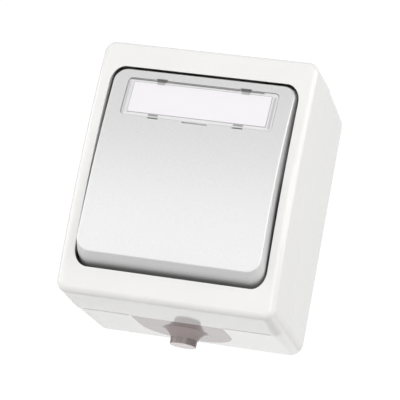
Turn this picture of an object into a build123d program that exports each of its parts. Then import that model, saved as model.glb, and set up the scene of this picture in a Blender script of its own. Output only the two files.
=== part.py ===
from build123d import *
import os
from math import asin, cos, hypot, radians, sin, sqrt, tan

# A surface-mounted, splash-proof bell push. Millimetres. The wall is the plane y = 0, the front
# faces -Y, +Z is up, and the origin is the middle of the back. "Depth" is counted from the wall
# towards the front.

# Housing: wall box and front cover, meeting at the split line
WIDTH = 66.0
HEIGHT = 78.0
SPLIT_DEPTH = 28.2
EDGE_DEPTH = 47.0
CROWN = 2.8
CORNER_R = 4.0
COVER_DRAFT = 2.0
BASE_DRAFT = 0.6
WALL = 2.2
BACK_WALL = 2.0
FRONT_EDGE_R = 2.0
SPLIT_GAP = 0.15
BASE_INSET = 0.03

# Tongue of the box, and the seal that lies on it inside the cover
TONGUE_HEIGHT = 3.0
TONGUE_WALL = 1.0
TONGUE_CLEARANCE = 0.1
SEAL_HEIGHT = 1.2

# Drain gaps in the lower edge of the cover, beside the grommet
DRAIN_GAP = 0.65
DRAIN_START = 0.4
DRAIN_END = 4.7

# Rocker: convex front, ends and sides that spread towards the rear, its middle a little below
# the pivot
PIVOT_DEPTH = 30.0
ROCKER_HEIGHT = 57.0
ROCKER_DROP = 0.3
ROCKER_EDGE_DEPTH = 50.25
ROCKER_CROWN = 2.4
ROCKER_END_FLARE = 19.5
ROCKER_SIDE_FLARE = 7.7
ROCKER_SIDE_REACH = 3.8
ROCKER_CORNER_R = 4.0
ROCKER_EDGE_R = 0.45
ROCKER_WALL = 2.0
ROCKER_SKIRT = 10.5
REST_TILT = 4.9
PRESS_ANGLE = 8.0

# Opening of the cover round the rocker, and the cover's border beside it
FRAME_SIDE = 4.65
END_GAP = 0.18
SIDE_GAP = 1.15
OPENING_CORNER_R = 4.3
OPENING_EDGE_R = 0.15

# Label window: centre and size on the rocker's front, and how it is held
LABEL_HEIGHT_ON_ROCKER = 19.3
RECESS_SIDE = 4.5
RECESS_HEIGHT = 12.7
RECESS_CORNER_R = 1.5
RECESS_DEPTH = 1.7
RECESS_FLOOR = 1.2
RECESS_PAD_BORDER = 1.4
WINDOW_CLEARANCE = 0.1
WINDOW_SINK = 0.3
WINDOW_BEVEL = 0.2
PANE_SIDE = 2.0
PANE_EDGE = 1.3
PANE_RISE = 0.18
PANE_CORNER_R = 0.3
CARD_SIDE = 1.55
CARD_EDGE = 1.0
CARD_LIFT = 0.3
CARD_THICKNESS = 0.25
CARD_AIR = 0.1
CARD_CLEARANCE = 0.2
HOOK_SPREAD = 25.2
HOOK_WIDTH = 2.9
HOOK_THICKNESS = 0.8
HOOK_LENGTH = 0.8
BARB = 0.3
HOOK_SLOT_CLEARANCE = 0.2
HOOK_NOTCH = 0.35
PRY_NOTCH_WIDTH = 7.5
PRY_NOTCH_HEIGHT = 0.6
PRY_NOTCH_DEPTH = 1.0

# Cable grommet in the underside of the box
GROMMET_DEPTH = 15.4
GROMMET_R = 13.9
GROMMET_FIT = 0.06
GROMMET_FLANGE = 1.6
GROMMET_FLANGE_WALL = 1.4
CONE_R = 7.8
CONE_TOP_R = 4.15
CONE_HEIGHT = 2.7
CONE_FLARE_R = 5.0
NUB_R = 4.05
NUB_TIP_R = 3.95
NUB_HEIGHT = 2.0
NUB_BORE_R = 2.8
NUB_END_WALL = 1.0
RAIL_WALL = 1.4
RAIL_LIP = 1.0
RAIL_CLEARANCE = 0.1
KNOCKOUT_LINE_WIDTH = 0.6
KNOCKOUT_LINE_DEPTH = 0.7

# Wall fixing: two upright slots
SLOT_SPACING = 60.0
SLOT_LENGTH = 7.0
SLOT_WIDTH = 4.5

# Cover screws, under the rocker, in pillars of the box
PILLAR_INSET = 9.4
PILLAR_R = 3.5
LUG_WIDTH = 9.0
LUG_WALL = 3.0
LUG_STEP = 0.6
COVER_SCREW_R = 1.5
COVER_SCREW_HEAD_R = 2.8
COVER_SCREW_HEAD = 2.2
COVER_SCREW_LENGTH = 14.0
SCREW_CLEARANCE = 0.2
THREAD_FIT = 0.02
DRIVE_WIDTH = 0.8
DRIVE_DEPTH = 0.9

# Contact block, its lid and how it is held in the box
BLOCK_HEIGHT = 38.0
BLOCK_GAP = 1.1
BLOCK_CORNER_R = 2.0
BLOCK_WALL = 1.8
BLOCK_FLOOR = 2.0
BLOCK_STANDOFF = 3.0
LID_WALL = 3.0
HUB_ROOM = 5.0
BLOCK_LUG_SPREAD = 44.0
BLOCK_LUG_R = 3.6
BLOCK_LUG_WALL = 3.0
BLOCK_SCREW_R = 1.5
BLOCK_SCREW_HEAD_R = 2.8
BLOCK_SCREW_HEAD = 2.0
BLOCK_SCREW_LENGTH = 5.4
SUPPORT_RIB = 1.6
SUPPORT_RIB_LENGTH = 20.0
SUPPORT_RIB_INSET = 3.0
RIVET_INSET = 4.5
RIVET_HEIGHT = 14.0
RIVET_R = 1.5
RIVET_BORE_R = 1.0
RIVET_HEAD_R = 2.5
RIVET_HEAD = 0.8
RIVET_COLUMN_R = 2.9

# Bearing of the rocker: ears on the lid, trunnions on the carrier
EAR_INSET = 1.6
EAR_WALL = 3.0
EAR_R = 5.0
TRUNNION_R = 2.0
BEARING_CLEARANCE = 0.05
CHEEK_GAP = 0.5
CHEEK_WALL = 3.0
HUB_R = 3.6
CARRIER_HEIGHT = 28.0
CARRIER_PLATE = 2.5
CARRIER_REACH = 9.0
CHEEK_FOOT = 14.0
POST_INSET = 4.9
POST_HEIGHT = 9.0
POST_R = 3.0
PIN_R = 2.0
POST_FIT = 0.06
NOSE_ARM = 11.0
NOSE_R = 1.5
NOSE_WIDTH = 5.0

# Plunger, bridge, contacts, terminals and return spring
PUSH_CLEARANCE = 0.05
PLUNGER_R = 2.5
PLUNGER_FIT = 0.06
FLANGE_R = 4.0
FLANGE_WALL = 1.4
FLANGE_CLEARANCE = 0.1
NECK_LENGTH = 2.0
SPIGOT_R = 1.5
SPIGOT_LENGTH = 2.6
BRIDGE_END = 2.0
BRIDGE_WIDTH = 4.6
BRIDGE_WALL = 0.6
CONTACT_INSET = 5.2
CONTACT_R = 1.3
CONTACT_HEAD = 0.7
CONTACT_SHANK_R = 0.7
CONTACT_CLEARANCE = 0.06
STRIP_END = 2.4
STRIP_WIDTH = 6.0
STRIP_WALL = 0.8
LEDGE_LENGTH = 3.4
TERMINAL_GAP = 0.4
TERMINAL_WIDTH = 5.2
TERMINAL_END_GAP = 0.05
WIRE_BORE_R = 1.5
WIRE_HOLE_R = 1.7
TERMINAL_SCREW_R = 1.3
TERMINAL_SCREW_HEAD_R = 2.4
TERMINAL_SCREW_HEAD = 2.0
TERMINAL_SCREW_LENGTH = 3.2
ACCESS_R = 3.0
SPRING_R = 2.3
SPRING_WIRE_R = 0.28
SPRING_TURNS = 5

# Levels worked out from the sizes above, as depths from the wall
cover_rear = SPLIT_DEPTH + SPLIT_GAP
tongue_end = SPLIT_DEPTH + TONGUE_HEIGHT
seal_seat = tongue_end + SEAL_HEIGHT
lug_rear = seal_seat + LUG_STEP
lug_front = lug_rear + LUG_WALL
block_rear = BACK_WALL + BLOCK_STANDOFF
lid_front = PIVOT_DEPTH - HUB_ROOM
lid_rear = lid_front - LID_WALL
tub_floor = block_rear + BLOCK_FLOOR
carrier_front = PIVOT_DEPTH + CARRIER_REACH
carrier_rear = carrier_front - CARRIER_PLATE
plunger_top = PIVOT_DEPTH + NOSE_ARM * sin(radians(REST_TILT)) - NOSE_R - PUSH_CLEARANCE
flange_front = lid_rear - FLANGE_CLEARANCE
bridge_front = flange_front - FLANGE_WALL - NECK_LENGTH
bridge_rear = bridge_front - BRIDGE_WALL
travel = NOSE_ARM * radians(PRESS_ANGLE)
strip_front = bridge_rear - 2 * CONTACT_HEAD - travel - CONTACT_CLEARANCE
strip_rear = strip_front - STRIP_WALL

# Widths that follow from the housing: pillars, insert and its fittings, rocker, label recess, card
pillar_x = WIDTH / 2 - PILLAR_INSET
block_width = 2 * (pillar_x - PILLAR_R - BLOCK_GAP)
rib_x = block_width / 2 - SUPPORT_RIB_INSET
rivet_x = block_width / 2 - RIVET_INSET
terminal_x = block_width / 2 - BLOCK_WALL - TERMINAL_GAP - TERMINAL_WIDTH / 2
contact_x = terminal_x - CONTACT_INSET
ear_inner = block_width / 2 - EAR_INSET - EAR_WALL
carrier_x = ear_inner - CHEEK_GAP
post_x = carrier_x - POST_INSET
rocker_width = WIDTH - 2 * FRAME_SIDE - 2 * SIDE_GAP
sweep_radius = hypot(ROCKER_EDGE_DEPTH - PIVOT_DEPTH, ROCKER_HEIGHT / 2 + ROCKER_DROP)
recess_width = rocker_width - 2 * RECESS_SIDE
card_width = recess_width - 2 * CARD_SIDE
card_height = RECESS_HEIGHT - 2 * CARD_EDGE

# Widths of the box: at its back, and inside its mouth where the tongue stands
base_spread = 2 * SPLIT_DEPTH * tan(radians(BASE_DRAFT))
mouth_spread = 2 * (SPLIT_DEPTH - BACK_WALL) * tan(radians(BASE_DRAFT))
back_width = WIDTH - 2 * BASE_INSET - base_spread
back_height = HEIGHT - 2 * BASE_INSET - base_spread
mouth_width = back_width - 2 * WALL + mouth_spread
mouth_height = back_height - 2 * WALL + mouth_spread
inner_corner = CORNER_R - WALL

# The rocker's axis, and the plane seen from the side: local x is depth, local y is height
pivot_axis = Axis((0, -PIVOT_DEPTH, 0), (1, 0, 0))
side_plane = Plane(origin=(0, 0, 0), x_dir=(0, -1, 0), z_dir=(-1, 0, 0))


def front_plane(depth):
    """Plane parallel to the wall: local x is right, local y is up, the normal points outwards."""
    return Plane.XZ.offset(depth)


def slab(outline, start, end, taper=0.0):
    """Flat outline raised from one depth to another, narrowing by the taper angle."""
    return extrude(front_plane(start) * outline, amount=end - start, taper=taper)


def rod(radius, x, z, start, end):
    """Round post that points at the wall."""
    return slab(Pos(x, z) * Circle(radius), start, end)


def level_cylinder(radius, length, depth, height=0.0):
    """Cylinder with a level axis, parallel to the wall."""
    return Pos(0, -depth, height) * Rot(0, 90, 0) * Cylinder(radius, length)


def arc_radius(chord, rise):
    return (chord**2 / 4 + rise**2) / (2 * rise)


def crown(chord, edge_depth, rise, length):
    """Big level cylinder whose front stands `rise` above a chord at `edge_depth`."""
    radius = arc_radius(chord, rise)
    return level_cylinder(radius, length, edge_depth + rise - radius)


def mirrored(shape):
    """A shape and its twin across the middle plane of the housing."""
    return [shape, mirror(shape, about=Plane.YZ)]


def at_rest(shape):
    """Turn a piece of the rocker from its level position to the tilt it rests at."""
    return shape.rotate(pivot_axis, -REST_TILT)


def drum(radius, width, rim):
    """Round body about the pivot with rounded rims: the room that the rocker's edges sweep."""
    body = level_cylinder(radius, width, PIVOT_DEPTH)
    return fillet(body.edges().filter_by(GeomType.CIRCLE), rim)


def u_outline(radius):
    """Half-round outline with straight sides that run to the split and past the tongue."""
    run = tongue_end - GROMMET_DEPTH
    return Circle(radius) + Pos(0, run / 2) * Rectangle(2 * radius, run)


def u_prism(radius, low, high):
    """U outline standing upright in the floor of the housing, open towards the front."""
    level = Plane(origin=(0, -GROMMET_DEPTH, low), x_dir=(-1, 0, 0), z_dir=(0, 0, 1))
    return extrude(level * u_outline(radius), amount=high - low)


def u_line(width, low, high):
    """Fine groove along the U outline."""
    return u_prism(GROMMET_R, low, high) - u_prism(GROMMET_R - width, low, high)


def base_outer():
    outline = RectangleRounded(back_width, back_height, CORNER_R - BASE_INSET)
    return slab(outline, 0, SPLIT_DEPTH, -BASE_DRAFT)


def base_cavity():
    outline = RectangleRounded(back_width - 2 * WALL, back_height - 2 * WALL, inner_corner)
    return slab(outline, BACK_WALL, SPLIT_DEPTH, -BASE_DRAFT)


def ring(wall, inset, start, end):
    """Rounded rectangular ring about the mouth of the box."""
    outer = RectangleRounded(mouth_width + 2 * wall, mouth_height + 2 * wall, inner_corner + wall)
    inner = RectangleRounded(mouth_width + 2 * inset, mouth_height + 2 * inset, inner_corner + inset)
    return slab(outer - inner, start, end)


def make_base_box():
    """Moulded wall box: drafted tub, tongue, pillars, seats of the insert, notch with rails."""
    outer = base_outer()
    box = outer - base_cavity() + ring(TONGUE_WALL, 0, SPLIT_DEPTH, tongue_end)
    for x in (-pillar_x, pillar_x):
        box += rod(PILLAR_R, x, 0, BACK_WALL, lug_rear)
    for x in (-rib_x, rib_x):
        rib = Pos(x, 0) * Rectangle(SUPPORT_RIB, SUPPORT_RIB_LENGTH)
        box += slab(rib, BACK_WALL, block_rear)
    for z in (-BLOCK_LUG_SPREAD / 2, BLOCK_LUG_SPREAD / 2):
        box += rod(BLOCK_LUG_R, 0, z, BACK_WALL, block_rear)
    wall_top = -back_height / 2 + WALL
    rail_inner = GROMMET_R + GROMMET_FLANGE + RAIL_CLEARANCE
    flange_top = wall_top + GROMMET_FLANGE_WALL + RAIL_CLEARANCE
    rail_top = flange_top + RAIL_WALL
    lip = rail_inner - RAIL_CLEARANCE - RAIL_LIP
    profile = Polyline(
        (rail_inner, wall_top - WALL / 2),
        (rail_inner, flange_top),
        (lip, flange_top),
        (lip, rail_top),
        (rail_inner + RAIL_WALL, rail_top),
        (rail_inner + RAIL_WALL, wall_top - WALL / 2),
        close=True,
    )
    for rail in mirrored(slab(make_face(profile), GROMMET_DEPTH, SPLIT_DEPTH)):
        box += rail
    box -= u_prism(GROMMET_R, -HEIGHT / 2, wall_top)
    top = back_height / 2
    groove = u_line(KNOCKOUT_LINE_WIDTH, top - KNOCKOUT_LINE_DEPTH, HEIGHT / 2)
    box -= groove & slab(Rectangle(WIDTH, HEIGHT), 0, SPLIT_DEPTH)
    for z in (-SLOT_SPACING / 2, SLOT_SPACING / 2):
        slot = Pos(0, z) * Rot(0, 0, 90) * SlotOverall(SLOT_LENGTH, SLOT_WIDTH)
        box -= slab(slot, 0, BACK_WALL)
    for x in (-pillar_x, pillar_x):
        tip = lug_front - COVER_SCREW_LENGTH
        box -= rod(COVER_SCREW_R + THREAD_FIT, x, 0, tip, lug_rear)
    for z in (-BLOCK_LUG_SPREAD / 2, BLOCK_LUG_SPREAD / 2):
        tip = block_rear + BLOCK_LUG_WALL - BLOCK_SCREW_LENGTH
        box -= rod(BLOCK_SCREW_R + THREAD_FIT, 0, z, tip, block_rear)
    return box


def make_cable_grommet():
    """Elastomer plug: flush U-shaped web, inner flange behind the wall, cone and closed nub."""
    wall_top = -back_height / 2 + WALL
    shell = base_outer() - base_cavity() + ring(TONGUE_WALL, 0, SPLIT_DEPTH, tongue_end)
    web = shell & u_prism(GROMMET_R - GROMMET_FIT, -HEIGHT / 2, wall_top)
    inside = base_cavity() - slab(Rectangle(WIDTH, HEIGHT), BACK_WALL, BACK_WALL + RAIL_CLEARANCE)
    flange = inside & u_prism(
        GROMMET_R + GROMMET_FLANGE, -HEIGHT / 2, wall_top + GROMMET_FLANGE_WALL
    )
    cone_foot = -back_height / 2
    cone_root = cone_foot + WALL / 2
    cone_end = cone_foot - CONE_HEIGHT
    nub_end = cone_end - NUB_HEIGHT
    upright = Plane(origin=(0, -GROMMET_DEPTH, 0), x_dir=(1, 0, 0), z_dir=(0, -1, 0))
    profile = RadiusArc((CONE_R, cone_foot), (CONE_TOP_R, cone_end), -CONE_FLARE_R)
    profile += Polyline(
        (CONE_TOP_R, cone_end),
        (NUB_R, cone_end),
        (NUB_TIP_R, nub_end),
        (0, nub_end),
        (0, cone_root),
        (CONE_R, cone_root),
        (CONE_R, cone_foot),
    )
    axis = Axis((0, -GROMMET_DEPTH, 0), (0, 0, 1))
    boss = revolve(upright * make_face(profile), axis)
    bore_floor = nub_end + NUB_END_WALL
    bore_height = wall_top + GROMMET_FLANGE_WALL - bore_floor
    bore = Pos(0, -GROMMET_DEPTH, bore_floor + bore_height / 2) * Cylinder(NUB_BORE_R, bore_height)
    return web + flange + boss - bore


def make_front_cover():
    """Drafted cover with a convex front, an opening swept by the rocker, and two screw lugs."""
    front = EDGE_DEPTH + CROWN
    body = slab(RectangleRounded(WIDTH, HEIGHT, CORNER_R), cover_rear, front, COVER_DRAFT)
    body &= crown(HEIGHT, EDGE_DEPTH, CROWN, 2 * WIDTH)
    body = fillet(body.faces().sort_by(Axis.Y)[0].edges(), FRONT_EDGE_R)
    outline = RectangleRounded(WIDTH - 2 * WALL, HEIGHT - 2 * WALL, inner_corner)
    cavity = slab(outline, cover_rear, front, COVER_DRAFT)
    cavity &= crown(HEIGHT, EDGE_DEPTH - WALL, CROWN, 2 * WIDTH)
    lug_outer = WIDTH / 2 - WALL / 2 - (lug_front - cover_rear) * tan(radians(COVER_DRAFT))
    lug_inner = pillar_x - PILLAR_R
    lug = Pos((lug_inner + lug_outer) / 2, 0) * Rectangle(lug_outer - lug_inner, LUG_WIDTH)
    body -= cavity
    for piece in mirrored(slab(lug, lug_rear, lug_front)):
        body += piece
    step = TONGUE_WALL + TONGUE_CLEARANCE
    rabbet = RectangleRounded(mouth_width + 2 * step, mouth_height + 2 * step, inner_corner + step)
    body -= slab(rabbet, cover_rear, seal_seat)
    drain_start = GROMMET_R + DRAIN_START
    drain_end = WIDTH / 2 - DRAIN_END
    drain = Rectangle(drain_end - drain_start, 2 * WALL)
    drain = Pos((drain_start + drain_end) / 2, -HEIGHT / 2) * drain
    for gap in mirrored(slab(drain, cover_rear, cover_rear + DRAIN_GAP)):
        body -= gap
    opening = drum(sweep_radius + END_GAP, rocker_width + 2 * SIDE_GAP, OPENING_CORNER_R)
    body -= opening & slab(Rectangle(WIDTH, HEIGHT), lug_front, 2 * front)
    rim = body.faces().sort_by(Axis.Y)[0].inner_wires()[0].edges()
    body = fillet(rim, OPENING_EDGE_R)
    for x in (-pillar_x, pillar_x):
        body -= rod(COVER_SCREW_R + SCREW_CLEARANCE, x, 0, lug_rear, lug_front)
    return body


def make_cover_seal():
    """Rubber ring between the tongue's end and the step inside the cover."""
    return ring(TONGUE_WALL, TONGUE_CLEARANCE, tongue_end, seal_seat)


def screw(x, z, seat, length, radius, head_radius, head):
    """Pan-head screw: its head stands on a seat facing out, with a straight drive slot."""
    body = rod(radius, x, z, seat - length, seat) + rod(head_radius, x, z, seat, seat + head)
    slot = Pos(x, z) * Rectangle(2 * head_radius, DRIVE_WIDTH)
    return body - slab(slot, seat + head - DRIVE_DEPTH, seat + head)


def make_cover_screws():
    one = screw(
        pillar_x,
        0,
        lug_front,
        COVER_SCREW_LENGTH,
        COVER_SCREW_R,
        COVER_SCREW_HEAD_R,
        COVER_SCREW_HEAD,
    )
    return Compound(mirrored(one))


def make_block_screws():
    seat = block_rear + BLOCK_LUG_WALL
    screws = [
        screw(0, z, seat, BLOCK_SCREW_LENGTH, BLOCK_SCREW_R, BLOCK_SCREW_HEAD_R, BLOCK_SCREW_HEAD)
        for z in (-BLOCK_LUG_SPREAD / 2, BLOCK_LUG_SPREAD / 2)
    ]
    return Compound(screws)


def make_contact_block():
    """Open tub with fixing lugs, rivet columns, ledges under the contacts and wire holes."""
    inner_height = BLOCK_HEIGHT - 2 * BLOCK_WALL
    tub = slab(RectangleRounded(block_width, BLOCK_HEIGHT, BLOCK_CORNER_R), block_rear, lid_rear)
    tub -= slab(Rectangle(block_width - 2 * BLOCK_WALL, inner_height), tub_floor, lid_rear)
    reach = BLOCK_LUG_SPREAD / 2
    strap = Rectangle(2 * BLOCK_LUG_R, 2 * reach)
    lugs = strap + Pos(0, reach) * Circle(BLOCK_LUG_R) + Pos(0, -reach) * Circle(BLOCK_LUG_R)
    lugs -= Rectangle(block_width, inner_height)
    tub += slab(lugs, block_rear, block_rear + BLOCK_LUG_WALL)
    for x in (-rivet_x, rivet_x):
        tub += rod(RIVET_COLUMN_R, x, RIVET_HEIGHT, tub_floor, lid_rear)
        tub -= rod(RIVET_R + THREAD_FIT, x, RIVET_HEIGHT, block_rear, lid_rear)
    for x in (-contact_x, contact_x):
        ledge = Pos(x, -NOSE_ARM) * Rectangle(LEDGE_LENGTH, STRIP_WIDTH)
        tub += slab(ledge, tub_floor, strip_rear)
    for z in (-reach, reach):
        seat = block_rear + BLOCK_LUG_WALL
        tub -= rod(BLOCK_SCREW_R + SCREW_CLEARANCE, 0, z, block_rear, seat)
    for x in (-terminal_x, terminal_x):
        middle = (tub_floor + strip_rear) / 2
        hole = Pos(x, -middle, -BLOCK_HEIGHT / 2) * Cylinder(WIRE_HOLE_R, 3 * BLOCK_WALL)
        tub -= hole
    for x in (-contact_x, contact_x):
        tub -= rod(CONTACT_SHANK_R + THREAD_FIT, x, -NOSE_ARM, strip_rear - CONTACT_HEAD, strip_rear)
    return tub


def make_block_lid():
    """Lid with two bearing ears for the rocker, the plunger's guide and screwdriver holes."""
    lid = slab(RectangleRounded(block_width, BLOCK_HEIGHT, BLOCK_CORNER_R), lid_rear, lid_front)
    foot = Pos((lid_rear + PIVOT_DEPTH) / 2, 0) * Rectangle(PIVOT_DEPTH - lid_rear, 2 * EAR_R)
    outline = foot + Pos(PIVOT_DEPTH, 0) * Circle(EAR_R)
    outline -= Pos(PIVOT_DEPTH, 0) * Circle(TRUNNION_R + BEARING_CLEARANCE)
    ear_plane = side_plane.offset(-ear_inner)
    ear = extrude(ear_plane * outline, amount=-EAR_WALL)
    for piece in mirrored(ear):
        lid += piece
    lid -= rod(PLUNGER_R + PLUNGER_FIT, 0, -NOSE_ARM, lid_rear, lid_front)
    for x in (-terminal_x, terminal_x):
        lid -= rod(ACCESS_R, x, -NOSE_ARM, lid_rear, lid_front)
    for x in (-rivet_x, rivet_x):
        lid -= rod(RIVET_R + THREAD_FIT, x, RIVET_HEIGHT, lid_rear, lid_front)
    return lid


def make_block_rivets():
    """Hollow rivets through the lid and the tub."""
    rivet = rod(RIVET_R, rivet_x, RIVET_HEIGHT, block_rear, lid_front)
    rivet += rod(RIVET_HEAD_R, rivet_x, RIVET_HEIGHT, lid_front, lid_front + RIVET_HEAD)
    rivet += rod(RIVET_HEAD_R, rivet_x, RIVET_HEIGHT, block_rear - RIVET_HEAD, block_rear)
    bore_end = lid_front + RIVET_HEAD
    rivet -= rod(RIVET_BORE_R, rivet_x, RIVET_HEIGHT, block_rear - RIVET_HEAD, bore_end)
    return Compound(mirrored(rivet))


def make_plunger():
    """Guided pin: head under the rocker's nose, stop flange, neck and spigot for the bridge."""
    pin = rod(PLUNGER_R, 0, -NOSE_ARM, bridge_front, plunger_top)
    pin += rod(FLANGE_R, 0, -NOSE_ARM, flange_front - FLANGE_WALL, flange_front)
    pin += rod(SPIGOT_R, 0, -NOSE_ARM, bridge_front - SPIGOT_LENGTH, bridge_front)
    return pin


def make_contact_bridge():
    """Moving contact strip, pierced for the spigot and for its two rivets."""
    length = 2 * (contact_x + BRIDGE_END)
    strip = Pos(0, -NOSE_ARM) * RectangleRounded(length, BRIDGE_WIDTH, BRIDGE_WIDTH / 4)
    bridge = slab(strip, bridge_rear, bridge_front)
    bridge -= rod(SPIGOT_R + THREAD_FIT, 0, -NOSE_ARM, bridge_rear, bridge_front)
    for x in (-contact_x, contact_x):
        bridge -= rod(CONTACT_SHANK_R + THREAD_FIT, x, -NOSE_ARM, bridge_rear, bridge_front)
    return bridge


def contact_rivet(face, shank_end, head_end):
    """Contact rivet: a rounded head on one side of a strip and a shank through it."""
    low, high = sorted((face, head_end))
    head = rod(CONTACT_R, contact_x, -NOSE_ARM, low, high)
    end_face = head.faces().sort_by(Axis.Y)[0 if head_end > face else -1]
    head = fillet(end_face.edges(), CONTACT_HEAD / 2)
    start, end = sorted((face, shank_end))
    return head + rod(CONTACT_SHANK_R, contact_x, -NOSE_ARM, start, end)


def make_bridge_rivets():
    return Compound(mirrored(contact_rivet(bridge_rear, bridge_front, bridge_rear - CONTACT_HEAD)))


def make_fixed_rivets():
    shank_end = strip_rear - CONTACT_HEAD
    return Compound(mirrored(contact_rivet(strip_front, shank_end, strip_front + CONTACT_HEAD)))


def make_fixed_contact():
    """Right-hand contact strip, from under the bridge to its terminal."""
    inner = contact_x - STRIP_END
    outer = block_width / 2 - BLOCK_WALL - TERMINAL_END_GAP
    outline = Pos((inner + outer) / 2, -NOSE_ARM) * Rectangle(outer - inner, STRIP_WIDTH)
    outline -= Pos(terminal_x, -NOSE_ARM) * Circle(TERMINAL_SCREW_R + SCREW_CLEARANCE)
    outline -= Pos(contact_x, -NOSE_ARM) * Circle(CONTACT_SHANK_R + THREAD_FIT)
    return slab(outline, strip_rear, strip_front)


def make_terminal():
    """Right-hand pillar terminal: wire bore from below, clamping screw from the front."""
    low = -BLOCK_HEIGHT / 2 + BLOCK_WALL + TERMINAL_END_GAP
    high = -NOSE_ARM + STRIP_WIDTH / 2
    x = terminal_x
    middle = (tub_floor + strip_rear) / 2
    outline = Pos(x, (low + high) / 2) * Rectangle(TERMINAL_WIDTH, high - low)
    block = slab(outline, tub_floor, strip_rear)
    block -= Pos(x, -middle, (low + high) / 2) * Cylinder(WIRE_BORE_R, high - low)
    block -= rod(TERMINAL_SCREW_R + THREAD_FIT, x, -NOSE_ARM, middle, strip_rear)
    return block


def make_terminal_screws():
    one = screw(
        terminal_x,
        -NOSE_ARM,
        strip_front,
        TERMINAL_SCREW_LENGTH,
        TERMINAL_SCREW_R,
        TERMINAL_SCREW_HEAD_R,
        TERMINAL_SCREW_HEAD,
    )
    return Compound(mirrored(one))


def make_return_spring():
    """Compression spring between the tub's floor and the contact bridge."""
    height = bridge_rear - tub_floor - 2 * SPRING_WIRE_R
    coil = Helix(height / SPRING_TURNS, height, SPRING_R - SPRING_WIRE_R)
    wire = Plane(origin=coil @ 0, z_dir=coil % 0) * Circle(SPRING_WIRE_R)
    spring = sweep(wire, path=coil)
    return Pos(0, -tub_floor - SPRING_WIRE_R, -NOSE_ARM) * Rot(90, 0, 0) * spring


def make_rocker_carrier():
    """Cradle under the rocker: plate, two cheeks with trunnions, and the nose on the plunger."""
    carrier = slab(Rectangle(2 * carrier_x, CARRIER_HEIGHT), carrier_rear, carrier_front)
    cheek = Polyline(
        (carrier_front, -CHEEK_FOOT / 2),
        (carrier_front, CHEEK_FOOT / 2),
        (PIVOT_DEPTH, HUB_R),
        (PIVOT_DEPTH, -HUB_R),
        close=True,
    )
    outline = make_face(cheek) + Pos(PIVOT_DEPTH, 0) * Circle(HUB_R)
    cheek_plane = side_plane.offset(-carrier_x)
    trunnion_end = ear_inner + EAR_WALL
    stub = cheek_plane * Pos(PIVOT_DEPTH, 0) * Circle(TRUNNION_R)
    trunnion = extrude(stub, amount=-(trunnion_end - carrier_x))
    for piece in mirrored(extrude(cheek_plane * outline, amount=CHEEK_WALL)) + mirrored(trunnion):
        carrier += piece
    finger = Rectangle(carrier_front - PIVOT_DEPTH, 2 * NOSE_R)
    nose = Pos((PIVOT_DEPTH + carrier_front) / 2, -NOSE_ARM) * finger
    nose += Pos(PIVOT_DEPTH, -NOSE_ARM) * Circle(NOSE_R)
    carrier += extrude(side_plane * nose, amount=NOSE_WIDTH / 2, both=True)
    for x in (-post_x, post_x):
        for z in (-POST_HEIGHT, POST_HEIGHT):
            carrier -= rod(PIN_R + POST_FIT, x, z, carrier_rear, carrier_front)
    return at_rest(carrier)


def label_plane():
    """Plane that touches the rocker's convex front at the middle of the label recess."""
    radius = arc_radius(ROCKER_HEIGHT, ROCKER_CROWN)
    slope = asin(LABEL_HEIGHT_ON_ROCKER / radius)
    depth = ROCKER_EDGE_DEPTH + ROCKER_CROWN - radius * (1 - cos(slope))
    origin = (0, -depth, LABEL_HEIGHT_ON_ROCKER)
    return Plane(origin=origin, x_dir=(1, 0, 0), z_dir=(0, -cos(slope), sin(slope)))


def label_slab(outline, start, end):
    """Outline on the label plane, raised between two levels counted outwards from it."""
    return extrude(label_plane().offset(start) * outline, amount=end - start)


def rocker_outline(depth, shrink):
    """Rocker's outline at a depth: it widens to the rear, at the sides only near the front."""
    behind = ROCKER_EDGE_DEPTH - depth
    end_flare = behind * tan(radians(ROCKER_END_FLARE))
    side_flare = min(behind, ROCKER_SIDE_REACH) * tan(radians(ROCKER_SIDE_FLARE))
    width = rocker_width + 2 * side_flare - 2 * shrink
    height = ROCKER_HEIGHT + 2 * end_flare - 2 * shrink
    outline = RectangleRounded(width, height, ROCKER_CORNER_R - shrink / 2)
    return front_plane(depth) * Pos(0, -ROCKER_DROP) * outline


def rocker_form(shrink, edge):
    """Rocker's outer form, or its hollow when shrunk by the wall, with a convex front."""
    rear = ROCKER_EDGE_DEPTH - ROCKER_SKIRT
    bend = ROCKER_EDGE_DEPTH - ROCKER_SIDE_REACH
    front = ROCKER_EDGE_DEPTH + ROCKER_CROWN
    form = loft([rocker_outline(depth, shrink) for depth in (rear, bend, front)], ruled=True)
    form &= crown(ROCKER_HEIGHT, ROCKER_EDGE_DEPTH - shrink, ROCKER_CROWN, 2 * rocker_width)
    if edge:
        form = fillet(form.faces().sort_by(Axis.Y)[0].edges(), edge)
    return form


def hook_places():
    """Middle of each hook on the label plane, with the side it stands at."""
    across = HOOK_SPREAD / 2
    return [(x, side) for x in (-across, across) for side in (-1, 1)]


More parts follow.
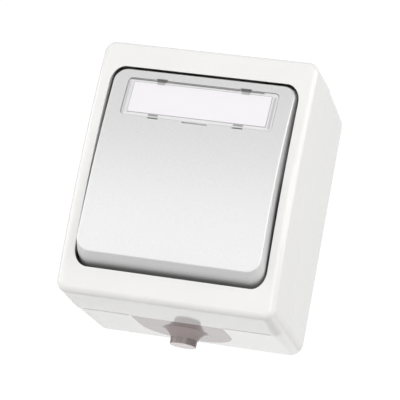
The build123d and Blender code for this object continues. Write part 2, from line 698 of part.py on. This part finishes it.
def make_rocker_button():
    """Moulded rocker: thin shell, label recess with hook slots and pry notch, four posts."""
    button = rocker_form(0, ROCKER_EDGE_R) - rocker_form(ROCKER_WALL, 0)
    pad_width = recess_width + 2 * RECESS_PAD_BORDER
    pad_height = RECESS_HEIGHT + 2 * RECESS_PAD_BORDER
    floor = RECESS_DEPTH + RECESS_FLOOR
    button += label_slab(Rectangle(pad_width, pad_height), -floor, -RECESS_DEPTH / 2)
    radius = arc_radius(ROCKER_HEIGHT, ROCKER_CROWN)
    sag = radius - sqrt(radius**2 - POST_HEIGHT**2)
    post_end = ROCKER_EDGE_DEPTH + ROCKER_CROWN - sag - ROCKER_WALL / 2
    for x in (-post_x, post_x):
        for z in (-POST_HEIGHT, POST_HEIGHT):
            button += rod(POST_R, x, z, carrier_front, post_end)
            button += rod(PIN_R, x, z, carrier_rear, carrier_front)
    recess = RectangleRounded(recess_width, RECESS_HEIGHT, RECESS_CORNER_R)
    button -= label_slab(recess, -RECESS_DEPTH, RECESS_DEPTH)
    for x, side in hook_places():
        depth = HOOK_THICKNESS + 2 * HOOK_SLOT_CLEARANCE
        slot = Rectangle(HOOK_WIDTH + 2 * HOOK_SLOT_CLEARANCE, depth)
        place = Pos(x, side * (RECESS_HEIGHT - depth) / 2)
        button -= label_slab(place * slot, -2 * floor, -RECESS_DEPTH)
        notch = Rectangle(HOOK_WIDTH + 2 * HOOK_SLOT_CLEARANCE, HOOK_NOTCH)
        place = Pos(x, side * (RECESS_HEIGHT + HOOK_NOTCH) / 2)
        button -= label_slab(place * notch, -RECESS_DEPTH, RECESS_DEPTH)
    pry_notch = Rectangle(PRY_NOTCH_WIDTH, PRY_NOTCH_HEIGHT)
    place = Pos(0, -(RECESS_HEIGHT + PRY_NOTCH_HEIGHT) / 2)
    button -= label_slab(place * pry_notch, -PRY_NOTCH_DEPTH, RECESS_DEPTH)
    return at_rest(button)


def make_label_card():
    """Blank card on the floor of the recess."""
    outline = Pos(0, CARD_LIFT) * Rectangle(card_width, card_height)
    return at_rest(label_slab(outline, -RECESS_DEPTH, CARD_THICKNESS - RECESS_DEPTH))


def make_label_window():
    """Clear window: bevelled plate with a raised pane, rim round the card, four barbed hooks."""
    width = recess_width - 2 * WINDOW_CLEARANCE
    height = RECESS_HEIGHT - 2 * WINDOW_CLEARANCE
    outline = RectangleRounded(width, height, RECESS_CORNER_R - WINDOW_CLEARANCE)
    window = label_slab(outline, -RECESS_DEPTH, -WINDOW_SINK)
    face = window.faces().sort_by(Axis(label_plane().origin, label_plane().z_dir))[-1]
    window = chamfer(face.edges(), WINDOW_BEVEL)
    pane_width = recess_width - 2 * PANE_SIDE
    pane_height = RECESS_HEIGHT - 2 * PANE_EDGE
    pane = RectangleRounded(pane_width, pane_height, PANE_CORNER_R)
    window += label_slab(pane, -WINDOW_SINK, PANE_RISE - WINDOW_SINK)
    room = Rectangle(card_width + 2 * CARD_CLEARANCE, card_height + 2 * CARD_CLEARANCE)
    room_top = CARD_THICKNESS + CARD_AIR - RECESS_DEPTH
    window -= label_slab(Pos(0, CARD_LIFT) * room, -RECESS_DEPTH, room_top)
    floor = RECESS_DEPTH + RECESS_FLOOR
    for x, side in hook_places():
        middle = side * (RECESS_HEIGHT / 2 - HOOK_SLOT_CLEARANCE - HOOK_THICKNESS / 2)
        leg = Pos(x, middle) * Rectangle(HOOK_WIDTH, HOOK_THICKNESS)
        window += label_slab(leg, -floor - HOOK_LENGTH, -RECESS_DEPTH)
        barb = Pos(x, middle + side * BARB / 2) * Rectangle(HOOK_WIDTH, HOOK_THICKNESS + BARB)
        barb_top = -floor - WINDOW_CLEARANCE
        window += label_slab(barb, -floor - HOOK_LENGTH, barb_top)
    return at_rest(window)


right_contact = make_fixed_contact()
right_terminal = make_terminal()

pieces = {
    "base_box": make_base_box(),
    "cable_grommet": make_cable_grommet(),
    "front_cover": make_front_cover(),
    "cover_seal": make_cover_seal(),
    "cover_screws": make_cover_screws(),
    "contact_block": make_contact_block(),
    "block_lid": make_block_lid(),
    "block_rivets": make_block_rivets(),
    "block_screws": make_block_screws(),
    "terminal_left": mirror(right_terminal, about=Plane.YZ),
    "terminal_right": right_terminal,
    "terminal_screws": make_terminal_screws(),
    "fixed_contact_left": mirror(right_contact, about=Plane.YZ),
    "fixed_contact_right": right_contact,
    "fixed_rivets": make_fixed_rivets(),
    "plunger": make_plunger(),
    "contact_bridge": make_contact_bridge(),
    "bridge_rivets": make_bridge_rivets(),
    "return_spring": make_return_spring(),
    "rocker_carrier": make_rocker_carrier(),
    "rocker_button": make_rocker_button(),
    "label_card": make_label_card(),
    "label_window": make_label_window(),
}

os.makedirs("parts", exist_ok=True)
for name, piece in pieces.items():
    export_step(piece, f"parts/{name}.step")
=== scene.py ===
from math import pi, radians

import bpy
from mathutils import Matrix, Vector


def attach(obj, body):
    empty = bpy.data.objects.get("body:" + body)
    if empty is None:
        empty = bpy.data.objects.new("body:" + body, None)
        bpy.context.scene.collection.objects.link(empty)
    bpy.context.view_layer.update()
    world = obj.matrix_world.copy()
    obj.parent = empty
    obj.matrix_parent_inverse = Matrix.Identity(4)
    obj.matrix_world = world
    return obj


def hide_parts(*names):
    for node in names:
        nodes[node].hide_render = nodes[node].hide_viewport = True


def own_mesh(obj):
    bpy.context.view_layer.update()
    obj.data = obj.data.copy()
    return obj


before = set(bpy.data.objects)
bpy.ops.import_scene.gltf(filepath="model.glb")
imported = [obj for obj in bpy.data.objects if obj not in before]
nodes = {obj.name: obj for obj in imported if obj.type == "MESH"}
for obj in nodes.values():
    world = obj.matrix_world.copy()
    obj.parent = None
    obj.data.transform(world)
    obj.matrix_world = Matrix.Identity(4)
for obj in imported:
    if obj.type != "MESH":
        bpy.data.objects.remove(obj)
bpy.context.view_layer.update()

# Wall box: the deep rear half of the housing, injection moulded in glossy white plastic and
# screwed to the wall through its back. The moulding is faintly cloudy, its polish is broken by a
# very fine eroded grain and by slight sink marks, and its inner faces are left matt.
hollow_half_width = 0.0312
hollow_half_height = 0.0372
hollow_front = -0.0446
hollow_back = -0.001
matt_roughness = 0.6


def new_finish(name):
    """A new finish: the material, its node tree, its shader and the piece's own coordinates."""
    material = bpy.data.materials.new(name)
    material.use_nodes = True
    tree = material.node_tree
    place = tree.nodes.new("ShaderNodeTexCoord").outputs["Object"]
    return material, tree, tree.nodes["Principled BSDF"], place


def directions(tree, place):
    """The three coordinates of a place, one by one."""
    split = tree.nodes.new("ShaderNodeSeparateXYZ")
    tree.links.new(place, split.inputs["Vector"])
    return split.outputs


def mottle(tree, place, scale, detail):
    """Cloudy pattern, so many patches to the metre."""
    noise = tree.nodes.new("ShaderNodeTexNoise")
    noise.inputs["Scale"].default_value = scale
    noise.inputs["Detail"].default_value = detail
    tree.links.new(place, noise.inputs["Vector"])
    return noise.outputs["Fac"]


def shades(tree, pattern, dark, light):
    """Colour between two shades, carried by a pattern."""
    ramp = tree.nodes.new("ShaderNodeValToRGB")
    ramp.color_ramp.elements[0].position = 0.32
    ramp.color_ramp.elements[1].position = 0.68
    ramp.color_ramp.elements[0].color = (*dark, 1)
    ramp.color_ramp.elements[1].color = (*light, 1)
    tree.links.new(pattern, ramp.inputs["Fac"])
    return ramp.outputs["Color"]


def graded(tree, value, start, end, low=0, high=1):
    """Number that goes from low to high while a value goes from start to end."""
    span = tree.nodes.new("ShaderNodeMapRange")
    span.inputs["From Min"].default_value = start
    span.inputs["From Max"].default_value = end
    span.inputs["To Min"].default_value = low
    span.inputs["To Max"].default_value = high
    tree.links.new(value, span.inputs["Value"])
    return span.outputs["Result"]


def between(tree, pattern, low, high):
    """Number between two values, carried by a pattern as a colour is by its shades."""
    return graded(tree, pattern, 0.32, 0.68, low, high)


def relief(tree, shader, pattern, strength, height, under=None):
    """Fine unevenness of the surface, laid over a coarser one where there is one."""
    bump = tree.nodes.new("ShaderNodeBump")
    bump.inputs["Strength"].default_value = strength
    bump.inputs["Distance"].default_value = height
    tree.links.new(pattern, bump.inputs["Height"])
    if under:
        tree.links.new(under, bump.inputs["Normal"])
    tree.links.new(bump.outputs["Normal"], shader.inputs["Normal"])
    return bump.outputs["Normal"]


def inside(tree, value, low, high):
    """1 where a value lies between two limits, else 0."""
    test = tree.nodes.new("ShaderNodeMath")
    test.operation = "COMPARE"
    test.inputs[1].default_value = (low + high) / 2
    test.inputs[2].default_value = (high - low) / 2
    tree.links.new(value, test.inputs[0])
    return test.outputs["Value"]


def product(tree, first, second):
    """Product of two values: of two masks, 1 where they overlap."""
    multiply = tree.nodes.new("ShaderNodeMath")
    multiply.operation = "MULTIPLY"
    tree.links.new(first, multiply.inputs[0])
    tree.links.new(second, multiply.inputs[1])
    return multiply.outputs["Value"]


def overlay(tree, mask, value, over):
    """A value, replaced by another one where the mask is 1."""
    layer = tree.nodes.new("ShaderNodeMix")
    layer.inputs["B"].default_value = over
    tree.links.new(mask, layer.inputs["Factor"])
    tree.links.new(value, layer.inputs["A"])
    return layer.outputs["Result"]


white, tree, shader, place = new_finish("white_moulding")
shader.inputs["IOR"].default_value = 1.5
ways = directions(tree, place)
across = inside(tree, ways["X"], -hollow_half_width, hollow_half_width)
upright = inside(tree, ways["Z"], -hollow_half_height, hollow_half_height)
hollow = product(tree, across, upright)
hollow = product(tree, hollow, inside(tree, ways["Y"], hollow_front, hollow_back))
clouds = mottle(tree, place, scale=70, detail=3)
tint = shades(tree, clouds, dark=(0.79, 0.784, 0.774), light=(0.81, 0.804, 0.794))
gloss = between(tree, mottle(tree, place, scale=500, detail=4), low=0.05, high=0.09)
gloss = overlay(tree, hollow, gloss, over=matt_roughness)
sinks = mottle(tree, place, scale=45, detail=1)
grain = mottle(tree, place, scale=4200, detail=2)
sunken = relief(tree, shader, sinks, strength=0.06, height=0.0003)
relief(tree, shader, grain, strength=0.05, height=0.00002, under=sunken)
tree.links.new(tint, shader.inputs["Base Color"])
tree.links.new(gloss, shader.inputs["Roughness"])
nodes["base_box"].material_slots[0].material = white

# Cable grommet: a soft grey elastomer plug, moulded with a flush U-shaped plate, a cone and a
# closed nub that is cut open for the cable. It slides into the box's notch from the front. Painted
# shade darkens the nub's wall, and painted light makes the cone and the nub's end paler.
cone_top = -0.039
cone_foot = -0.0414
nub_top = -0.04143
nub_rim = -0.04331
nub_face = -0.04334
nub_foot = -0.0434
cone_painted_light = 1.22
nub_wall_painted_shade = 0.86
nub_end_painted_light = 1.78
grey, tree, shader, place = new_finish("grey_elastomer")
shader.inputs["IOR"].default_value = 1.55
up = directions(tree, place)["Z"]
cone = inside(tree, up, cone_foot, cone_top)
nub_wall = inside(tree, up, nub_rim, nub_top)
nub_end = inside(tree, up, nub_foot, nub_face)
clouds = mottle(tree, place, scale=240, detail=3)
brightness = graded(tree, clouds, start=0, end=1, low=0.96, high=1.04)
# Painted light and shade by height: the cone and the nub's end lightened, the nub's wall darkened.
brightness = overlay(tree, cone, brightness, over=cone_painted_light)
brightness = overlay(tree, nub_wall, brightness, over=nub_wall_painted_shade)
brightness = overlay(tree, nub_end, brightness, over=nub_end_painted_light)
streaks = mottle(tree, place, scale=180, detail=4)
tint = shades(tree, streaks, dark=(0.305, 0.256, 0.251), light=(0.338, 0.284, 0.279))
gloss = between(tree, mottle(tree, place, scale=900, detail=3), low=0.12, high=0.18)
grain = mottle(tree, place, scale=3000, detail=2)
relief(tree, shader, grain, strength=0.02, height=0.00003)
clouds_and_painted_light = tree.nodes.new("ShaderNodeHueSaturation")
tree.links.new(brightness, clouds_and_painted_light.inputs["Value"])
tree.links.new(tint, clouds_and_painted_light.inputs["Color"])
tree.links.new(clouds_and_painted_light.outputs["Color"], shader.inputs["Base Color"])
tree.links.new(gloss, shader.inputs["Roughness"])
nodes["cable_grommet"].material_slots[0].material = grey

# Contact insert: a dark grey tub and its lid, moulded in glass-filled plastic, which shows as
# short pale fibres near the surface. Two hollow rivets close it and two screws hold it.
insert, tree, shader, place = new_finish("insert_moulding")
fibres = mottle(tree, place, scale=1400, detail=6)
tint = shades(tree, fibres, dark=(0.25, 0.26, 0.275), light=(0.34, 0.35, 0.37))
gloss = between(tree, mottle(tree, place, scale=700, detail=3), low=0.42, high=0.58)
grain = mottle(tree, place, scale=2600, detail=4)
relief(tree, shader, grain, strength=0.2, height=0.00004)
tree.links.new(tint, shader.inputs["Base Color"])
tree.links.new(gloss, shader.inputs["Roughness"])
for name in ("contact_block", "block_lid"):
    nodes[name].material_slots[0].material = insert

# Brass parts: pillar terminals, contact strips, the moving bridge and the hollow rivets. They
# are cut from drawn stock, so the metal has fine lines along its length and a light tarnish.
line_stretch = (0.08, 1, 1)
brass, tree, shader, place = new_finish("drawn_brass")
shader.inputs["Metallic"].default_value = 1
drawn = tree.nodes.new("ShaderNodeMapping")
drawn.inputs["Scale"].default_value = line_stretch
tree.links.new(place, drawn.inputs["Vector"])
tarnish = mottle(tree, place, scale=260, detail=5)
tint = shades(tree, tarnish, dark=(0.58, 0.42, 0.19), light=(0.76, 0.58, 0.3))
gloss = between(tree, mottle(tree, place, scale=420, detail=3), low=0.24, high=0.42)
lines = mottle(tree, drawn.outputs["Vector"], scale=5200, detail=2)
relief(tree, shader, lines, strength=0.25, height=0.00002)
tree.links.new(tint, shader.inputs["Base Color"])
tree.links.new(gloss, shader.inputs["Roughness"])
for name in (
    "terminal_left",
    "terminal_right",
    "fixed_contact_left",
    "fixed_contact_right",
    "contact_bridge",
    "block_rivets",
):
    nodes[name].material_slots[0].material = brass

# Contact rivets: silver-faced heads on the strips and on the bridge. Switching leaves them
# slightly clouded.
silver, tree, shader, place = new_finish("contact_silver")
shader.inputs["Metallic"].default_value = 1
clouds = mottle(tree, place, scale=1500, detail=4)
tint = shades(tree, clouds, dark=(0.66, 0.65, 0.62), light=(0.85, 0.84, 0.81))
gloss = between(tree, mottle(tree, place, scale=1900, detail=3), low=0.2, high=0.4)
tree.links.new(tint, shader.inputs["Base Color"])
tree.links.new(gloss, shader.inputs["Roughness"])
for name in ("fixed_rivets", "bridge_rivets"):
    nodes[name].material_slots[0].material = silver

# Screws: zinc-plated steel, for the terminals, the insert and the cover. The plating is bright
# with a cold, slightly uneven tone.
zinc, tree, shader, place = new_finish("zinc_plate")
shader.inputs["Metallic"].default_value = 1
clouds = mottle(tree, place, scale=600, detail=4)
tint = shades(tree, clouds, dark=(0.53, 0.55, 0.58), light=(0.7, 0.71, 0.72))
gloss = between(tree, mottle(tree, place, scale=800, detail=3), low=0.25, high=0.4)
grain = mottle(tree, place, scale=4000, detail=2)
relief(tree, shader, grain, strength=0.15, height=0.00002)
tree.links.new(tint, shader.inputs["Base Color"])
tree.links.new(gloss, shader.inputs["Roughness"])
for name in ("terminal_screws", "block_screws", "cover_screws"):
    nodes[name].material_slots[0].material = zinc

# Return spring: a coil of drawn steel wire under the plunger, standing on the tub's floor. In the
# switch it is squeezed as the plunger goes in; here it is a rigid coil fixed to the housing.
wire_r = 0.00028
wire_sides = 12
coil_r = 0.00202
coil_turns = 5
steps_to_a_turn = 36
coil_foot = -0.00728
coil_height = 0.01034
coil_axis_z = -0.011
bpy.ops.object.select_all(action="DESELECT")
bpy.ops.mesh.primitive_circle_add(
    vertices=wire_sides,
    radius=wire_r,
    location=(coil_r, 0, 0),
    rotation=(pi / 2, 0, 0),
)
spring = bpy.context.object
spring.name = "return_coil"
bpy.ops.object.transform_apply(location=True, rotation=True, scale=True)
turn = spring.modifiers.new("turns", "SCREW")
turn.axis = "Z"
turn.angle = 2 * pi * coil_turns
turn.screw_offset = coil_height
turn.steps = steps_to_a_turn * coil_turns
turn.render_steps = steps_to_a_turn * coil_turns
turn.use_merge_vertices = False
bpy.ops.object.modifier_apply(modifier="turns")
bpy.ops.object.mode_set(mode="EDIT")
bpy.ops.mesh.select_all(action="DESELECT")
bpy.ops.mesh.select_mode(type="EDGE")
bpy.ops.mesh.select_non_manifold()
bpy.ops.mesh.edge_face_add()
bpy.ops.mesh.select_all(action="SELECT")
bpy.ops.mesh.normals_make_consistent(inside=False)
bpy.ops.object.mode_set(mode="OBJECT")
spring.rotation_euler = (pi / 2, 0, 0)
spring.location = (0, coil_foot, coil_axis_z)
bpy.ops.object.transform_apply(location=True, rotation=True, scale=True)
bpy.ops.object.shade_smooth_by_angle(angle=radians(50))
steel, tree, shader, place = new_finish("spring_wire")
shader.inputs["Metallic"].default_value = 1
clouds = mottle(tree, place, scale=900, detail=4)
tint = shades(tree, clouds, dark=(0.34, 0.34, 0.35), light=(0.5, 0.5, 0.51))
gloss = between(tree, mottle(tree, place, scale=1200, detail=3), low=0.25, high=0.4)
tree.links.new(tint, shader.inputs["Base Color"])
tree.links.new(gloss, shader.inputs["Roughness"])
spring.data.materials.append(steel)
nodes["return_spring"].material_slots[0].material = steel
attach(spring, "housing")
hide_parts("return_spring")
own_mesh(spring)

# Plunger and rocker carrier: slippery uncoloured plastic, so the guide and the bearings run
# without grease. The material is slightly waxy and lets a little light in.
natural, tree, shader, place = new_finish("natural_moulding")
shader.inputs["Subsurface Weight"].default_value = 0.1
shader.inputs["Subsurface Radius"].default_value = (0.002, 0.002, 0.0018)
clouds = mottle(tree, place, scale=220, detail=3)
tint = shades(tree, clouds, dark=(0.67, 0.67, 0.645), light=(0.73, 0.73, 0.71))
gloss = between(tree, mottle(tree, place, scale=800, detail=3), low=0.36, high=0.48)
grain = mottle(tree, place, scale=2400, detail=2)
relief(tree, shader, grain, strength=0.1, height=0.00003)
tree.links.new(tint, shader.inputs["Base Color"])
tree.links.new(gloss, shader.inputs["Roughness"])
for name in ("plunger", "rocker_carrier"):
    nodes[name].material_slots[0].material = natural

# Cover seal: a black rubber ring, moulded in one piece. It is laid round the box's tongue and
# pressed flat by the cover, to keep rain out of the split.
rubber, tree, shader, place = new_finish("seal_rubber")
clouds = mottle(tree, place, scale=500, detail=4)
tint = shades(tree, clouds, dark=(0.045, 0.045, 0.05), light=(0.08, 0.08, 0.085))
gloss = between(tree, mottle(tree, place, scale=900, detail=3), low=0.55, high=0.75)
grain = mottle(tree, place, scale=2500, detail=3)
relief(tree, shader, grain, strength=0.2, height=0.00003)
tree.links.new(tint, shader.inputs["Base Color"])
tree.links.new(gloss, shader.inputs["Roughness"])
nodes["cover_seal"].material_slots[0].material = rubber

# Front cover: the same glossy white moulding as the box, convex, with the rocker's opening. It
# is screwed to the box's pillars behind the rocker.
nodes["front_cover"].material_slots[0].material = white

# Rocker button: moulded plastic under a fine silver metallic lacquer with a close grain of flakes,
# silky and not mirror bright. The lower skirt, inside the opening, is painted grey as painted shade
# where the gap's shadow falls. The skirt is told by its depth behind the cover.
cover_front = -0.0498
cover_crown = 0.0028
cover_half_height = 0.039
shade_fade_start = cover_front - 0.0002
shade_full_start = cover_front + 0.0014
skirt_top = 0.004
skirt_foot = -0.004
painted_shade_grey = (0.3, 0.3, 0.3, 1)
lacquer, tree, shader, place = new_finish("silver_lacquer")
shader.inputs["Metallic"].default_value = 0.3
shader.inputs["Coat Weight"].default_value = 0.1
shader.inputs["Coat Roughness"].default_value = 0.2
ways = directions(tree, place)
depth = tree.nodes.new("ShaderNodeMath")
depth.operation = "MULTIPLY_ADD"
depth.inputs[1].default_value = -cover_crown / cover_half_height**2
tree.links.new(product(tree, ways["Z"], ways["Z"]), depth.inputs[0])
tree.links.new(ways["Y"], depth.inputs[2])
skirt = graded(tree, depth.outputs["Value"], start=shade_fade_start, end=shade_full_start)
lower = graded(tree, ways["Z"], start=skirt_top, end=skirt_foot)
flakes = mottle(tree, place, scale=2600, detail=2)
tint = shades(tree, flakes, dark=(0.69, 0.69, 0.69), light=(0.73, 0.73, 0.73))
gloss = between(tree, mottle(tree, place, scale=3400, detail=2), low=0.32, high=0.44)
grain = mottle(tree, place, scale=3000, detail=2)
relief(tree, shader, grain, strength=0.08, height=0.00003)
# Painted shade: the lower skirt inside the opening is mixed towards grey.
skirt_painted_shade = tree.nodes.new("ShaderNodeMixRGB")
skirt_painted_shade.inputs["Color2"].default_value = painted_shade_grey
tree.links.new(product(tree, skirt, lower), skirt_painted_shade.inputs["Fac"])
tree.links.new(tint, skirt_painted_shade.inputs["Color1"])
tree.links.new(skirt_painted_shade.outputs["Color"], shader.inputs["Base Color"])
tree.links.new(gloss, shader.inputs["Roughness"])
nodes["rocker_button"].material_slots[0].material = lacquer

# Label card: a blank strip of white card, slightly lilac against the housing, with the soft
# fibre of paper. It lies loose in the rocker's recess, under the window.
card, tree, shader, place = new_finish("label_card")
fibres = mottle(tree, place, scale=1600, detail=6)
tint = shades(tree, fibres, dark=(0.885, 0.875, 0.905), light=(0.93, 0.92, 0.95))
gloss = between(tree, mottle(tree, place, scale=900, detail=3), low=0.6, high=0.75)
grain = mottle(tree, place, scale=3000, detail=5)
relief(tree, shader, grain, strength=0.1, height=0.00002)
tree.links.new(tint, shader.inputs["Base Color"])
tree.links.new(gloss, shader.inputs["Roughness"])
nodes["label_card"].material_slots[0].material = card

# Label window: a clear polished plate with a raised pane, clipped over the card by four hooks. Its
# border is painted pale and half opaque as painted light caught in its bevels. The pane's edge and
# the window's edges carry painted shade lines, and painted shade marks stand over the hooks.
label_tilt = radians(11.4)
label_shift = (0, 0.05301, -0.0108)
hook_x = 0.0127
pane_tint = (1, 0.974, 1.005, 1)


def patch(tree, across, up, middle, half):
    """1 within a rectangle of the label's plane, given by its middle and half its size."""
    columns = inside(tree, across, middle[0] - half[0], middle[0] + half[0])
    rows = inside(tree, up, middle[1] - half[1], middle[1] + half[1])
    return product(tree, columns, rows)


clear, tree, shader, place = new_finish("clear_window")
shader.inputs["IOR"].default_value = 1.49
laid_flat = tree.nodes.new("ShaderNodeMapping")
laid_flat.inputs["Rotation"].default_value = (label_tilt, 0, 0)
laid_flat.inputs["Location"].default_value = label_shift
tree.links.new(place, laid_flat.inputs["Vector"])
ways = directions(tree, laid_flat.outputs["Vector"])
mirrored = tree.nodes.new("ShaderNodeMath")
mirrored.operation = "ABSOLUTE"
tree.links.new(ways["X"], mirrored.inputs[0])
side = ways["X"]
across = mirrored.outputs["Value"]
up = ways["Z"]
pane = patch(tree, across, up, middle=(0, 0), half=(0.02062, 0.00497))
pane_edge_shade = patch(tree, across, up, middle=(0, 0), half=(0.02076, 0.00511))
left_edge_shade = patch(tree, side, up, middle=(-0.02205, -0.0003), half=(0.00035, 0.0055))
right_edge_shade = patch(tree, side, up, middle=(0.0216, -0.0003), half=(0.00035, 0.0052))
top_gap_shadow = patch(tree, side, up, middle=(-0.0021, 0.0059), half=(0.0202, 0.0002))
hook_root_shade = patch(tree, across, up, middle=(hook_x, 0.00515), half=(0.0012, 0.00045))
hook_top_shade = patch(tree, across, up, middle=(hook_x, 0.00602), half=(0.0014, 0.00042))
hook_foot_shade = patch(tree, across, up, middle=(hook_x, -0.00545), half=(0.0015, 0.00027))
hook_lip_shade = patch(tree, across, up, middle=(hook_x, -0.00625), half=(0.0015, 0.00012))
# Painted light: the border's pale, half-opaque haze.
painted_light_haze = mottle(tree, place, scale=200, detail=3)
clouds = mottle(tree, place, scale=120, detail=2)
opacity = graded(tree, painted_light_haze, start=0, end=1, low=0.66, high=0.78)
shade = graded(tree, clouds, start=0, end=1, low=0.87, high=0.93)
# Painted shade: dark lines at the window's and pane's edges, the top gap's shadow and marks over the
# hooks.
for mark in (
    {"mask": left_edge_shade, "opacity": 0.8, "shade": 0.68},
    {"mask": right_edge_shade, "opacity": 0.8, "shade": 0.6},
    {"mask": top_gap_shadow, "opacity": 0.85, "shade": 0.22},
    {"mask": pane_edge_shade, "opacity": 0.4, "shade": 0.4},
    {"mask": pane, "opacity": 0.75, "shade": 0.975},
    {"mask": hook_root_shade, "opacity": 0.8, "shade": 0.52},
    {"mask": hook_top_shade, "opacity": 0.85, "shade": 0.19},
    {"mask": hook_foot_shade, "opacity": 0.85, "shade": 0.3},
    {"mask": hook_lip_shade, "opacity": 0.85, "shade": 0.4},
):
    opacity = overlay(tree, mark["mask"], opacity, over=mark["opacity"])
    shade = overlay(tree, mark["mask"], shade, over=mark["shade"])
lilac = tree.nodes.new("ShaderNodeMixRGB")
lilac.blend_type = "MULTIPLY"
lilac.inputs["Color2"].default_value = pane_tint
gloss = between(tree, mottle(tree, place, scale=300, detail=4), low=0.01, high=0.05)
tree.links.new(pane, lilac.inputs["Fac"])
tree.links.new(shade, lilac.inputs["Color1"])
tree.links.new(lilac.outputs["Color"], shader.inputs["Base Color"])
tree.links.new(opacity, shader.inputs["Alpha"])
tree.links.new(gloss, shader.inputs["Roughness"])
nodes["label_window"].material_slots[0].material = clear

# Studio floor: a sheet of pale, nearly plain paper. It lies well below the part and reaches back
# behind it, so that the underside of the housing mirrors it.
floor_size = 2
floor_place = (0, 0.88, -0.24)
bpy.ops.object.select_all(action="DESELECT")
bpy.ops.mesh.primitive_plane_add(size=floor_size, location=floor_place)
floor = bpy.context.object
floor.name = "studio_floor"
paper, tree, shader, place = new_finish("floor_paper")
shader.inputs["Roughness"].default_value = 0.9
clouds = mottle(tree, place, scale=3, detail=2)
tint = shades(tree, clouds, dark=(0.86, 0.86, 0.86), light=(0.88, 0.88, 0.88))
tree.links.new(tint, shader.inputs["Base Color"])
floor.data.materials.append(paper)

# Surroundings: a pale grey room with a white wall behind the part. The wall is a little darker at
# the right, where the side of the housing mirrors it.
room_strength = 0.45
wall_left = 1.04
wall_right = 0.85
surround = bpy.data.worlds.new("white_surround")
surround.use_nodes = True
tree = surround.node_tree
background = tree.nodes["Background"]
heading = tree.nodes.new("ShaderNodeTexCoord")
ways = directions(tree, heading.outputs["Generated"])
wall = graded(tree, ways["X"], start=-0.08, end=0.08, low=wall_left, high=wall_right)
room = graded(tree, ways["Y"], start=0.86, end=0.6)
background.inputs["Color"].default_value = (1, 1, 1, 1)
tree.links.new(overlay(tree, room, wall, over=room_strength), background.inputs["Strength"])
bpy.context.scene.world = surround
bpy.context.scene.view_settings.view_transform = "Standard"

# Lamps: six broad soft lamps in an arc from the left round the front to the right, all turned to
# the part, and one that shines down on the floor behind it and so lights the underside.
part_middle = (0, -0.04, 0)
soft_lamps = {
    "far_left_light": {"place": (-1.056, -0.323, 0.12), "aim": part_middle, "size": 0.75, "energy": 3.9},
    "left_light": {"place": (-0.707, -0.883, 0), "aim": part_middle, "size": 0.75, "energy": 2},
    "front_light": {"place": (-0.228, -1.111, 0.09), "aim": part_middle, "size": 0.75, "energy": 1.4},
    "key_light": {"place": (0.34, -1.086, 0), "aim": part_middle, "size": 0.75, "energy": 3.4},
    "right_light": {"place": (0.764, -0.681, 0.465), "aim": part_middle, "size": 0.75, "energy": 3.1},
    "far_right_light": {"place": (0.993, -0.127, 0.465), "aim": part_middle, "size": 0.75, "energy": 3},
    "floor_light": {"place": (0, 1.1, -0.06), "aim": (0, 1.1, -0.24), "size": 1, "energy": 3.2},
}
for name, lamp in soft_lamps.items():
    spot = Vector(lamp["place"])
    bpy.ops.object.light_add(type="AREA", location=spot)
    light = bpy.context.object
    light.name = name
    light.rotation_euler = (Vector(lamp["aim"]) - spot).to_track_quat("-Z", "Y").to_euler()
    light.data.size = lamp["size"]
    light.data.energy = lamp["energy"]

# Camera: a long lens a little below the part and to its right, rolled to the left, so that the
# part leans as it does in the photograph.
camera_place = (0.145045, -0.580906, -0.145281)
camera_turn = (radians(104.355), radians(-10.642), radians(11.996))
bpy.ops.object.camera_add(location=camera_place, rotation=camera_turn)
camera = bpy.context.object
camera.data.lens = 179.54
camera.data.sensor_width = 36
bpy.context.scene.camera = camera
